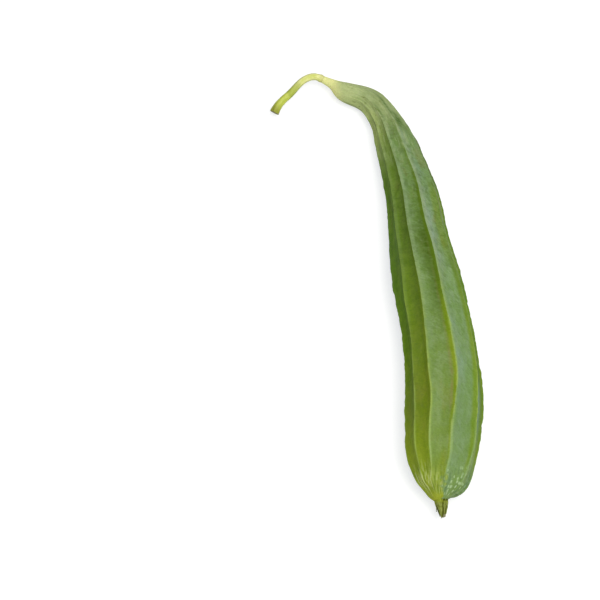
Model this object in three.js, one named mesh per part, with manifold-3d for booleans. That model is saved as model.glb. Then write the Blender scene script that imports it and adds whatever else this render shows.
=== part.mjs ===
// Ridge gourd (Luffa acutangula), picked and lying down.
// Millimetres, +Z up, origin on the floor under the middle of the whole object.
// +Y runs from the blossom end (-Y) to the stem end (+Y).
//
// Three pieces: the fruit with its ten ridges, the cut stalk at the neck,
// and the dried flower at the blossom end.
import * as THREE from 'three';
import { mergeVertices } from 'three/addons/utils/BufferGeometryUtils.js';
import Module from 'manifold-3d';

// ---------------------------------------------------------------- dimensions
// Stations of the fruit from the neck joint to the blossom end:
// x, y, height of the axis, radius over the ridges, groove depth as a share of that radius.
const BODY = [
  [-32.97, 179.52, 10.69, 2.82, 0.000],
  [-24.41, 174.60, 9.86, 4.50, 0.013],
  [-19.30, 170.22, 9.93, 6.86, 0.017],
  [-12.80, 166.83, 9.71, 8.14, 0.023],
  [-4.74, 163.93, 9.43, 8.92, 0.033],
  [2.83, 159.04, 9.62, 10.00, 0.044],
  [9.80, 149.20, 10.19, 11.28, 0.057],
  [15.68, 136.12, 11.33, 12.68, 0.070],
  [20.03, 120.32, 13.54, 14.95, 0.082],
  [24.00, 102.91, 15.44, 16.53, 0.090],
  [27.96, 84.28, 17.36, 18.05, 0.096],
  [31.55, 64.24, 19.26, 19.56, 0.100],
  [33.57, 43.47, 20.72, 20.80, 0.104],
  [35.08, 21.57, 22.07, 22.31, 0.105],
  [37.63, -0.23, 23.36, 24.07, 0.105],
  [40.71, -21.18, 23.51, 24.72, 0.106],
  [43.55, -41.54, 23.25, 24.84, 0.106],
  [45.74, -61.43, 23.51, 25.21, 0.106],
  [47.04, -80.91, 24.00, 25.73, 0.106],
  [47.18, -99.29, 24.71, 26.48, 0.105],
  [46.17, -116.03, 24.45, 26.20, 0.104],
  [44.91, -130.34, 23.52, 25.18, 0.100],
  [44.09, -142.24, 22.40, 23.88, 0.092],
  [44.14, -152.31, 20.38, 20.96, 0.079],
  [43.54, -161.20, 18.41, 17.75, 0.061],
  [42.77, -166.75, 17.32, 13.70, 0.045],
  [42.40, -169.00, 16.93, 10.50, 0.038],
  [42.25, -170.75, 16.63, 7.80, 0.031],
  [42.29, -172.47, 16.30, 4.50, 0.022],
];
// Ridges round the fruit, in degrees from straight up towards +X; the pair at 162 and 198 carries it.
const RIDGES = [-93, -56, -24.5, 10, 50, 87, 124, 162, 198, 233];
const RIDGE_SHARPNESS = 2.6;      // power of the fall from a crest to its groove
const CREST_FOOT = 0.30;          // where a crest's foot lies, as a share of the half groove
const BODY_STEP = 8.2;            // spacing of the fruit's sections
const TIP_STEP = 3.2;             // the same, over the last stretch at the blossom end
const TIP_STRETCH = 36;
const REST_PLANE = 0;             // the two lowest ridges are pressed flat on this plane

// Stalk from the neck joint to the cut: x, y, height, radius.
const STEM = [
  [-33.28, 179.70, 10.71, 2.84],
  [-37.11, 181.06, 11.67, 2.92],
  [-40.97, 180.77, 12.80, 2.82],
  [-44.84, 179.03, 13.55, 2.82],
  [-48.69, 176.05, 13.93, 2.82],
  [-52.53, 171.88, 13.74, 2.87],
  [-56.36, 167.10, 12.99, 2.96],
  [-60.19, 163.28, 11.86, 3.01],
  [-64.01, 160.13, 10.35, 3.11],
  [-67.07, 156.89, 8.85, 3.29],
  [-69.36, 153.58, 7.44, 3.48],
  [-70.43, 151.18, 6.59, 3.53],
];
const STEM_SIDES = 12;
const STEM_STEP = 2.6;
const STEM_RIBS = 5;              // faint angles along the stalk
const STEM_RIB_DEPTH = 0.05;

// Dried flower: x, y, height, radius, depth of the folds between its lobes.
const FLOWER = [
  [42.34, -172.80, 16.22, 4.55, 0.05],
  [42.54, -175.30, 15.72, 4.75, 0.12],
  [42.96, -178.08, 14.68, 4.05, 0.20],
  [43.39, -180.81, 13.55, 2.83, 0.22],
  [43.69, -183.54, 12.42, 1.14, 0.10],
];
const FLOWER_LOBES = 5;
const FLOWER_SIDES = 20;
const FLOWER_STEP = 1.5;

// Directions of the two joints, so that the faces on both sides of each gap are parallel.
const NECK_DIRECTION = [0.868, -0.490, -0.080];
const TIP_DIRECTION = [0.120, -0.965, -0.235];

// ---------------------------------------------------------------- curves
// Natural cubic spline through values v at parameters t.
function spline(t, v) {
  const n = t.length;
  const h = [], a = new Array(n).fill(0), c = new Array(n).fill(0), d = new Array(n).fill(0), m = new Array(n).fill(0);
  for (let i = 0; i < n - 1; i++) h.push(t[i + 1] - t[i]);
  c[0] = 0; d[0] = 0;
  for (let i = 1; i < n - 1; i++) {
    a[i] = 6 * ((v[i + 1] - v[i]) / h[i] - (v[i] - v[i - 1]) / h[i - 1]);
    const w = 2 * (h[i - 1] + h[i]) - h[i - 1] * c[i - 1];
    c[i] = h[i] / w;
    d[i] = (a[i] - h[i - 1] * d[i - 1]) / w;
  }
  for (let i = n - 2; i > 0; i--) m[i] = d[i] - c[i] * m[i + 1];
  return (x) => {
    let i = 0;
    while (i < n - 2 && x > t[i + 1]) i++;
    const u = (x - t[i]) / h[i], w = 1 - u;
    return w * v[i] + u * v[i + 1] + (h[i] * h[i] / 6) * ((w * w * w - w) * m[i] + (u * u * u - u) * m[i + 1]);
  };
}

function along(rows) {
  const t = [0];
  for (let i = 1; i < rows.length; i++) {
    t.push(t[i - 1] + Math.hypot(rows[i][0] - rows[i - 1][0], rows[i][1] - rows[i - 1][1], rows[i][2] - rows[i - 1][2]));
  }
  const f = rows[0].map((_, k) => spline(t, rows.map((row) => row[k])));
  return { length: t[t.length - 1], at: (s) => f.map((g) => g(s)) };
}

// Section frame: out points to the right of travel, up as near to +Z as the axis allows.
function frameAt(path, s, first, last) {
  const e = 0.5, a = path.at(Math.max(0, s - e)), b = path.at(Math.min(path.length, s + e));
  const dir = new THREE.Vector3(b[0] - a[0], b[1] - a[1], b[2] - a[2]);
  if (s <= 0 && first) dir.set(...first);
  if (s >= path.length && last) dir.set(...last);
  dir.normalize();
  const out = new THREE.Vector3(0, 0, 1).cross(dir).normalize();
  const up = dir.clone().cross(out).normalize();
  return { out, up };
}

// Closed solid from a list of rings of equal size, with a flat cap on each end.
function loft(rings) {
  const n = rings[0].length, pos = [], index = [];
  for (const ring of rings) for (const p of ring) pos.push(p.x, p.y, p.z);
  for (let i = 0; i < rings.length - 1; i++) {
    for (let j = 0; j < n; j++) {
      const k = (j + 1) % n, a = i * n + j, b = i * n + k, c = (i + 1) * n + j, d = (i + 1) * n + k;
      index.push(a, b, d, a, d, c);
    }
  }
  for (const [i, flip] of [[0, false], [rings.length - 1, true]]) {
    const mid = new THREE.Vector3();
    for (const p of rings[i]) mid.addScaledVector(p, 1 / n);
    const m = pos.length / 3;
    pos.push(mid.x, mid.y, mid.z);
    for (let j = 0; j < n; j++) {
      const a = i * n + j, b = i * n + ((j + 1) % n);
      if (flip) index.push(m, a, b); else index.push(m, b, a);
    }
  }
  const g = new THREE.BufferGeometry();
  g.setAttribute('position', new THREE.Float32BufferAttribute(pos, 3));
  g.setIndex(index);
  // faces point out: a solid with a negative volume is turned round
  let volume = 0;
  const P = (i) => new THREE.Vector3(pos[3 * i], pos[3 * i + 1], pos[3 * i + 2]);
  for (let i = 0; i < index.length; i += 3) volume += P(index[i]).dot(P(index[i + 1]).cross(P(index[i + 2])));
  if (volume < 0) {
    for (let i = 0; i < index.length; i += 3) [index[i + 1], index[i + 2]] = [index[i + 2], index[i + 1]];
    g.setIndex(index);
  }
  return g;
}

// ---------------------------------------------------------------- the fruit
// Section angles: each crest, its two feet and the middle of each groove.
const sections = [];
for (let k = 0; k < RIDGES.length; k++) {
  const a = RIDGES[k], b = k + 1 < RIDGES.length ? RIDGES[k + 1] : RIDGES[0] + 360, half = (b - a) / 2;
  sections.push([a, 0], [a + CREST_FOOT * half, CREST_FOOT], [a + half, 1], [b - CREST_FOOT * half, CREST_FOOT]);
}
function fruit() {
  const path = along(BODY), stops = [];
  const main = path.length - TIP_STRETCH, n = Math.round(main / BODY_STEP), m = Math.round(TIP_STRETCH / TIP_STEP);
  for (let i = 0; i < n; i++) stops.push((main * i) / n);
  for (let i = 0; i <= m; i++) stops.push(main + (TIP_STRETCH * i) / m);
  const rings = stops.map((s) => {
    const [x, y, z, r, depth] = path.at(s), { out, up } = frameAt(path, s, NECK_DIRECTION, TIP_DIRECTION);
    return sections.map(([deg, t]) => {
      const q = r * (1 - depth * (1 - Math.pow(1 - t, RIDGE_SHARPNESS))), w = THREE.MathUtils.degToRad(deg);
      return new THREE.Vector3(x, y, z).addScaledVector(up, q * Math.cos(w)).addScaledVector(out, q * Math.sin(w));
    });
  });
  return loft(rings);
}

// ---------------------------------------------------------------- the stalk
function stalk() {
  const path = along(STEM), n = Math.round(path.length / STEM_STEP), back = NECK_DIRECTION.map((v) => -v);
  const rings = [];
  for (let i = 0; i <= n; i++) {
    const s = (path.length * i) / n, [x, y, z, r] = path.at(s), { out, up } = frameAt(path, s, back, null);
    const ring = [];
    for (let j = 0; j < STEM_SIDES; j++) {
      const w = (2 * Math.PI * j) / STEM_SIDES, q = r * (1 - STEM_RIB_DEPTH * (0.5 - 0.5 * Math.cos(STEM_RIBS * w)));
      ring.push(new THREE.Vector3(x, y, z).addScaledVector(up, q * Math.cos(w)).addScaledVector(out, q * Math.sin(w)));
    }
    rings.push(ring);
  }
  return loft(rings);
}

// ---------------------------------------------------------------- the dried flower
function flower() {
  const path = along(FLOWER), n = Math.round(path.length / FLOWER_STEP);
  const rings = [];
  for (let i = 0; i <= n; i++) {
    const s = (path.length * i) / n, [x, y, z, r, fold] = path.at(s), { out, up } = frameAt(path, s, TIP_DIRECTION, null);
    const ring = [];
    for (let j = 0; j < FLOWER_SIDES; j++) {
      const w = (2 * Math.PI * j) / FLOWER_SIDES, q = r * (1 - fold * (0.5 - 0.5 * Math.cos(FLOWER_LOBES * w)));
      ring.push(new THREE.Vector3(x, y, z).addScaledVector(up, q * Math.cos(w)).addScaledVector(out, q * Math.sin(w)));
    }
    rings.push(ring);
  }
  return loft(rings);
}

// ---------------------------------------------------------------- booleans
const wasm = await Module();
wasm.setup();
function solid(geometry) {
  const g = geometry.clone();
  g.deleteAttribute('normal');
  g.deleteAttribute('uv');
  const m = mergeVertices(g, 1e-4);
  return new wasm.Manifold(new wasm.Mesh({
    numProp: 3,
    vertProperties: new Float32Array(m.attributes.position.array),
    triVerts: new Uint32Array(m.index.array),
  }));
}
function geometryOf(manifold) {
  const mesh = manifold.getMesh(), g = new THREE.BufferGeometry();
  g.setAttribute('position', new THREE.BufferAttribute(new Float32Array(mesh.vertProperties), 3));
  g.setIndex(new THREE.BufferAttribute(new Uint32Array(mesh.triVerts), 1));
  return g;
}
// What would reach below the rest plane is pressed away, which leaves flat strips along the lowest crests.
const below = new THREE.BoxGeometry(400, 600, 60);
below.translate(0, 0, REST_PLANE - 30);
const body = geometryOf(solid(fruit()).subtract(solid(below)));

// ---------------------------------------------------------------- the object
const group = new THREE.Group();
function add(name, geometry, color, roughness) {
  geometry.computeVertexNormals();
  const mesh = new THREE.Mesh(geometry, new THREE.MeshStandardMaterial({ color, roughness, metalness: 0 }));
  mesh.name = name;
  group.add(mesh);
}
add('gourd_body', body, 0x7f9c58, 0.6);
add('stem', stalk(), 0xb9bf55, 0.6);
add('dried_flower', flower(), 0x8a7a2c, 0.85);

export default group;
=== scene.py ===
# A ridge gourd lying on a pale floor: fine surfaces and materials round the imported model.
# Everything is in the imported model's frame. Tables are in millimetres and are turned into metres when a mesh is made.
import math

import bpy
import numpy as np
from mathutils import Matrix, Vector


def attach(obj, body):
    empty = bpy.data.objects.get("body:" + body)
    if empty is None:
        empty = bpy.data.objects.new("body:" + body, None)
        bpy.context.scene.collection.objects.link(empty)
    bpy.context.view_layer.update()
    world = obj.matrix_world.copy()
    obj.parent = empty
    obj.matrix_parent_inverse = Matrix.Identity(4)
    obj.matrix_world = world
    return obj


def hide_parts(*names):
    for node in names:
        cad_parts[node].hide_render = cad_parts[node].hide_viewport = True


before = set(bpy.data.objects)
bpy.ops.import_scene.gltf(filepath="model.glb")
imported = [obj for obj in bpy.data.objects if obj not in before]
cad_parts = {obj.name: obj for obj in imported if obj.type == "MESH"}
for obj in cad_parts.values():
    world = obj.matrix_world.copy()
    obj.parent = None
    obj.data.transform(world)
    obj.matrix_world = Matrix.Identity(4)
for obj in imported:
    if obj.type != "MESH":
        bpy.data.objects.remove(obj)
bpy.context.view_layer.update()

MM = 0.001

# ---------------------------------------------------------------- shape tables: the model's, with the fruit's last rows run on a
# little under the flower
# x, y, height of the axis, radius over the ridges, groove depth as a share of the radius
BODY = [
    (-32.97, 179.52, 10.69, 2.82, 0.000),
    (-24.41, 174.60, 9.86, 4.50, 0.013),
    (-19.30, 170.22, 9.93, 6.86, 0.017),
    (-12.80, 166.83, 9.71, 8.14, 0.023),
    (-4.74, 163.93, 9.43, 8.92, 0.033),
    (2.83, 159.04, 9.62, 10.00, 0.044),
    (9.80, 149.20, 10.19, 11.28, 0.057),
    (15.68, 136.12, 11.33, 12.68, 0.070),
    (20.03, 120.32, 13.54, 14.95, 0.082),
    (24.00, 102.91, 15.44, 16.53, 0.090),
    (27.96, 84.28, 17.36, 18.05, 0.096),
    (31.55, 64.24, 19.26, 19.56, 0.100),
    (33.57, 43.47, 20.72, 20.80, 0.104),
    (35.08, 21.57, 22.07, 22.31, 0.105),
    (37.63, -0.23, 23.36, 24.07, 0.105),
    (40.71, -21.18, 23.51, 24.72, 0.106),
    (43.55, -41.54, 23.25, 24.84, 0.106),
    (45.74, -61.43, 23.51, 25.21, 0.106),
    (47.04, -80.91, 24.00, 25.73, 0.106),
    (47.18, -99.29, 24.71, 26.48, 0.105),
    (46.17, -116.03, 24.45, 26.20, 0.104),
    (44.91, -130.34, 23.52, 25.18, 0.100),
    (44.09, -142.24, 22.40, 23.88, 0.092),
    (44.14, -152.31, 20.38, 20.96, 0.079),
    (43.54, -161.20, 18.41, 17.75, 0.061),
    (42.77, -166.75, 17.32, 13.70, 0.045),
    (42.40, -169.15, 16.93, 10.60, 0.038),
    (42.25, -171.10, 16.63, 7.80, 0.031),
    (42.29, -173.10, 16.30, 4.60, 0.022),
]
STEM = [
    (-33.28, 179.70, 10.71, 2.84),
    (-37.11, 181.06, 11.67, 2.92),
    (-40.97, 180.77, 12.80, 2.82),
    (-44.84, 179.03, 13.55, 2.82),
    (-48.69, 176.05, 13.93, 2.82),
    (-52.53, 171.88, 13.74, 2.87),
    (-56.36, 167.10, 12.99, 2.96),
    (-60.19, 163.28, 11.86, 3.01),
    (-64.01, 160.13, 10.35, 3.11),
    (-67.07, 156.89, 8.85, 3.29),
    (-69.36, 153.58, 7.44, 3.48),
    (-70.43, 151.18, 6.59, 3.53),
]
FLOWER = [
    (42.34, -172.80, 16.22, 4.55, 0.05),
    (42.54, -175.30, 15.72, 4.75, 0.12),
    (42.96, -178.08, 14.68, 4.05, 0.20),
    (43.39, -180.81, 13.55, 2.83, 0.22),
    (43.69, -183.54, 12.42, 1.14, 0.10),
]
RIDGES = [-93, -56, -24.5, 10, 50, 87, 124, 162, 198, 233]
# how far a ridge strays from its angle, in degrees, along the fruit (share of its length, degrees)
WANDER = {
    1: [(0, 0), (0.35, 1), (0.42, 1.5), (0.46, 5), (0.50, 10), (0.54, 11), (0.58, 7), (0.61, 1), (0.65, -1), (0.70, 0), (0.77, 1), (0.82, 5),
        (0.86, 6), (0.90, 6), (0.94, 8), (0.965, 9), (1, 6)],
    2: [(0, 0), (0.10, -2), (0.20, -5), (0.30, -3.5), (0.38, -3.5), (0.44, -2.5), (0.49, 1), (0.55, 3.3), (0.62, 2.0), (0.68, -2.2),
        (0.74, -4.6), (0.80, -2.8), (0.84, 2.2), (0.87, 0.5), (0.90, 0), (0.94, -2), (1, -1)],
    3: [(0, 0), (0.10, -2), (0.20, -5.5), (0.30, -5), (0.38, -3), (0.45, -1.5), (0.50, 2.5), (0.56, 2.7), (0.61, 1.6), (0.64, 1.7), (0.67, 2.8),
        (0.72, 3.8), (0.79, 5.0), (0.825, 3.8), (0.86, 1.2), (0.90, 0), (0.93, -1.8), (0.955, -6.5), (1, -7)],
    4: [(0, 0), (0.20, -1), (0.34, -1), (0.45, -2), (0.52, -1), (0.56, 0.5), (0.60, 4.5), (0.64, 9), (0.68, 9.6), (0.72, 10), (0.76, 9.2),
        (0.80, 4.5), (0.835, 3.5), (0.87, 6), (0.905, 8), (0.94, 3.5), (0.965, -3), (1, -5)],
}
NECK_DIRECTION = (0.868, -0.490, -0.080)
TIP_DIRECTION = (0.120, -0.965, -0.235)


# ---------------------------------------------------------------- curves
def spline(t, v):
    """Natural cubic spline, as the model uses."""
    t, v = np.asarray(t, float), np.asarray(v, float)
    n = len(t)
    h = np.diff(t)
    c, d, m = np.zeros(n), np.zeros(n), np.zeros(n)
    for i in range(1, n - 1):
        a = 6 * ((v[i + 1] - v[i]) / h[i] - (v[i] - v[i - 1]) / h[i - 1])
        w = 2 * (h[i - 1] + h[i]) - h[i - 1] * c[i - 1]
        c[i] = h[i] / w
        d[i] = (a - h[i - 1] * d[i - 1]) / w
    for i in range(n - 2, 0, -1):
        m[i] = d[i] - c[i] * m[i + 1]

    def f(x):
        x = np.asarray(x, float)
        i = np.clip(np.searchsorted(t, x, side="right") - 1, 0, n - 2)
        u = (x - t[i]) / h[i]
        w = 1 - u
        return w * v[i] + u * v[i + 1] + (h[i] ** 2 / 6) * ((w**3 - w) * m[i] + (u**3 - u) * m[i + 1])

    return f


class Path:
    def __init__(self, rows):
        a = np.array(rows, float)
        self.t = np.r_[0, np.cumsum(np.linalg.norm(np.diff(a[:, :3], axis=0), axis=1))]
        self.length = self.t[-1]
        self.f = [spline(self.t, a[:, k]) for k in range(a.shape[1])]

    def at(self, s):
        return np.stack([f(s) for f in self.f], -1)

    def frames(self, s, first=None, last=None, blend=5.0):
        a, b = self.at(np.maximum(0, s - 0.5)), self.at(np.minimum(self.length, s + 0.5))
        d = b[:, :3] - a[:, :3]
        d /= np.linalg.norm(d, axis=1)[:, None]
        for want, gap in ((first, s), (last, self.length - s)):
            if want is not None:
                w = smooth(1 - gap / blend)[:, None]
                d = d * (1 - w) + np.array(want) * w
                d /= np.linalg.norm(d, axis=1)[:, None]
        out = np.cross([0, 0, 1.0], d)
        out /= np.linalg.norm(out, axis=1)[:, None]
        up = np.cross(d, out)
        return d, out, up


def smooth(x, lo=0.0, hi=1.0):
    u = np.clip((np.asarray(x, float) - lo) / (hi - lo), 0, 1)
    return u * u * (3 - 2 * u)


# ---------------------------------------------------------------- repeatable noise, for shapes
def _lattice(ix, iy, iz, seed):
    u = np.uint64
    mask = u(0xFFFFFFFF)
    h = (ix.astype(np.int64).astype(u) * u(73856093)) ^ (iy.astype(np.int64).astype(u) * u(19349663))
    h ^= (iz.astype(np.int64).astype(u) * u(83492791)) ^ u((seed * 2654435761) & 0xFFFFFFFF)
    h &= mask
    h = ((h ^ (h >> u(15))) * u(2246822519)) & mask
    h = ((h ^ (h >> u(13))) * u(3266489917)) & mask
    h ^= h >> u(16)
    return h.astype(float) / 4294967295.0 * 2 - 1


def noise(x, y, z, seed=0):
    """Smooth noise from -1 to 1 with features about one unit apart."""
    x, y, z = np.broadcast_arrays(np.asarray(x, float), np.asarray(y, float), np.asarray(z, float))
    fx, fy, fz = np.floor(x), np.floor(y), np.floor(z)
    ux, uy, uz = x - fx, y - fy, z - fz
    ux, uy, uz = (u * u * u * (u * (u * 6 - 15) + 10) for u in (ux, uy, uz))
    total = 0
    for dx in (0, 1):
        for dy in (0, 1):
            for dz in (0, 1):
                w = (ux if dx else 1 - ux) * (uy if dy else 1 - uy) * (uz if dz else 1 - uz)
                total = total + w * _lattice(fx + dx, fy + dy, fz + dz, seed)
    return total


# ---------------------------------------------------------------- meshes
def skin_rings(rings, closed_start=True, closed_end=True):
    """Quads between rings of equal size; caps are fans to a middle point. Returns points and faces."""
    nr, n = rings.shape[:2]
    pts = rings.reshape(-1, 3)
    i = np.arange(nr - 1)[:, None] * n
    j = np.arange(n)[None]
    k = (j + 1) % n
    quads = np.stack([i + j, i + n + j, i + n + k, i + k], -1).reshape(-1, 4)
    faces = quads.tolist()
    extra = []
    if closed_start:
        m = len(pts) + len(extra)
        extra.append(rings[0].mean(0))
        faces += [[m, a, (a + 1) % n] for a in range(n)]
    if closed_end:
        m = len(pts) + len(extra)
        b = (nr - 1) * n
        extra.append(rings[-1].mean(0))
        faces += [[m, b + (a + 1) % n, b + a] for a in range(n)]
    if extra:
        pts = np.vstack([pts, np.array(extra)])
    return pts, faces


def volume(pts, faces):
    """Signed volume of a closed surface of triangles and quads: positive when its faces look outwards."""
    v = 0.0
    for n in (3, 4):
        f = np.array([f for f in faces if len(f) == n])
        for a in range(1, n - 1) if len(f) else ():
            v += np.einsum("ij,ij->i", pts[f[:, 0]], np.cross(pts[f[:, a]], pts[f[:, a + 1]])).sum()
    return v / 6


def make(name, pts, faces, material, attributes=None, vectors=None, replaces=()):
    """A smooth mesh object from points in millimetres, riding on the root body."""
    pts = np.asarray(pts, float)
    if volume(pts, faces) < 0:
        faces = [f[::-1] for f in faces]
    me = bpy.data.meshes.new(name)
    me.from_pydata((pts * MM).tolist(), [], faces)
    me.polygons.foreach_set("use_smooth", [True] * len(me.polygons))
    for key, values in (attributes or {}).items():
        a = me.attributes.new(key, "FLOAT", "POINT")
        a.data.foreach_set("value", np.asarray(values, np.float32).ravel())
    for key, values in (vectors or {}).items():
        a = me.attributes.new(key, "FLOAT_VECTOR", "POINT")
        a.data.foreach_set("vector", np.asarray(values, np.float32).ravel())
    me.materials.append(material)
    me.update()
    ob = bpy.data.objects.new(name, me)
    bpy.context.collection.objects.link(ob)
    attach(ob, "root")
    if replaces:
        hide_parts(*replaces)
    return ob


# ---------------------------------------------------------------- material helpers
class Nodes:
    """Short names for building a shader tree."""

    def __init__(self, name):
        self.mat = bpy.data.materials.new(name)
        self.mat.use_nodes = True
        self.t = self.mat.node_tree
        self.t.nodes.clear()
        self.out = self.t.nodes.new("ShaderNodeOutputMaterial")
        self.bsdf = self.t.nodes.new("ShaderNodeBsdfPrincipled")
        self.t.links.new(self.bsdf.outputs[0], self.out.inputs[0])

    def new(self, kind, **settings):
        n = self.t.nodes.new(kind)
        for k, v in settings.items():
            setattr(n, k, v)
        return n

    def put(self, socket, value):
        if isinstance(value, bpy.types.NodeSocket):
            self.t.links.new(value, socket)
        elif value is not None:
            if hasattr(socket.default_value, "__len__") and not hasattr(value, "__len__"):
                value = (value,) * len(socket.default_value)
            if hasattr(socket.default_value, "__len__") and len(socket.default_value) == 4 and len(value) == 3:
                value = (*value, 1.0)
            socket.default_value = value

    def attr(self, name, vector=False):
        n = self.new("ShaderNodeAttribute", attribute_name=name)
        return n.outputs["Vector"] if vector else n.outputs["Fac"]

    def math(self, op, a, b=None, c=None, clamp=False):
        n = self.new("ShaderNodeMath", operation=op, use_clamp=clamp)
        for s, v in zip(n.inputs, (a, b, c)):
            if v is not None:
                self.put(s, v)
        return n.outputs[0]

    def ramp(self, x, lo, hi, a=0.0, b=1.0, kind="SMOOTHSTEP"):
        n = self.new("ShaderNodeMapRange", interpolation_type=kind)
        self.put(n.inputs[0], x)
        for s, v in zip(n.inputs[1:5], (lo, hi, a, b)):
            self.put(s, v)
        return n.outputs[0]

    def mix(self, f, a, b, blend="MIX"):
        n = self.new("ShaderNodeMix", data_type="RGBA", blend_type=blend, clamp_factor=True)
        self.put(n.inputs[0], f)
        self.put(n.inputs[6], a)
        self.put(n.inputs[7], b)
        return n.outputs[2]

    def add(self, a, b, clamp=False):
        return self.math("ADD", a, b, clamp=clamp)

    def sub(self, a, b):
        return self.math("SUBTRACT", a, b)

    def mul(self, a, b):
        return self.math("MULTIPLY", a, b)

    def skew(self, v, k):
        """Slant a pattern: the lengthwise coordinate gains k times the sideways one."""
        n, c = self.new("ShaderNodeSeparateXYZ"), self.new("ShaderNodeCombineXYZ")
        self.put(n.inputs[0], v)
        side = self.sub(n.outputs[0], self.mul(n.outputs[1], 0.5))
        for i, x in enumerate((n.outputs[0], n.outputs[1], self.add(n.outputs[2], self.mul(side, k)))):
            self.put(c.inputs[i], x)
        return c.outputs[0]

    def scale(self, v, by):
        n = self.new("ShaderNodeVectorMath", operation="MULTIPLY")
        self.put(n.inputs[0], v)
        n.inputs[1].default_value = by if hasattr(by, "__len__") else (by,) * 3
        return n.outputs[0]

    def noise(self, v, scale=1.0, detail=2.0, rough=0.5, distort=0.0, color=False):
        n = self.new("ShaderNodeTexNoise")
        self.put(n.inputs["Vector"], v)
        for k, x in (("Scale", scale), ("Detail", detail), ("Roughness", rough), ("Distortion", distort)):
            n.inputs[k].default_value = x
        return n.outputs["Color" if color else 0]

    def voronoi(self, v, scale=1.0, feature="F1", out="Distance", randomness=1.0, flat=False):
        n = self.new("ShaderNodeTexVoronoi", feature=feature, voronoi_dimensions="2D" if flat else "3D")
        self.put(n.inputs["Vector"], v)
        n.inputs["Scale"].default_value = scale
        n.inputs["Randomness"].default_value = randomness
        return n.outputs[out]

    def bump(self, height, distance, strength=1.0, normal=None):
        n = self.new("ShaderNodeBump")
        n.inputs["Strength"].default_value = strength
        n.inputs["Distance"].default_value = distance
        self.put(n.inputs["Height"], height)
        if normal is not None:
            self.put(n.inputs["Normal"], normal)
        return n.outputs[0]

    def set(self, **values):
        for k, v in values.items():
            self.put(self.bsdf.inputs[k.replace("_", " ")], v)


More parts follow.
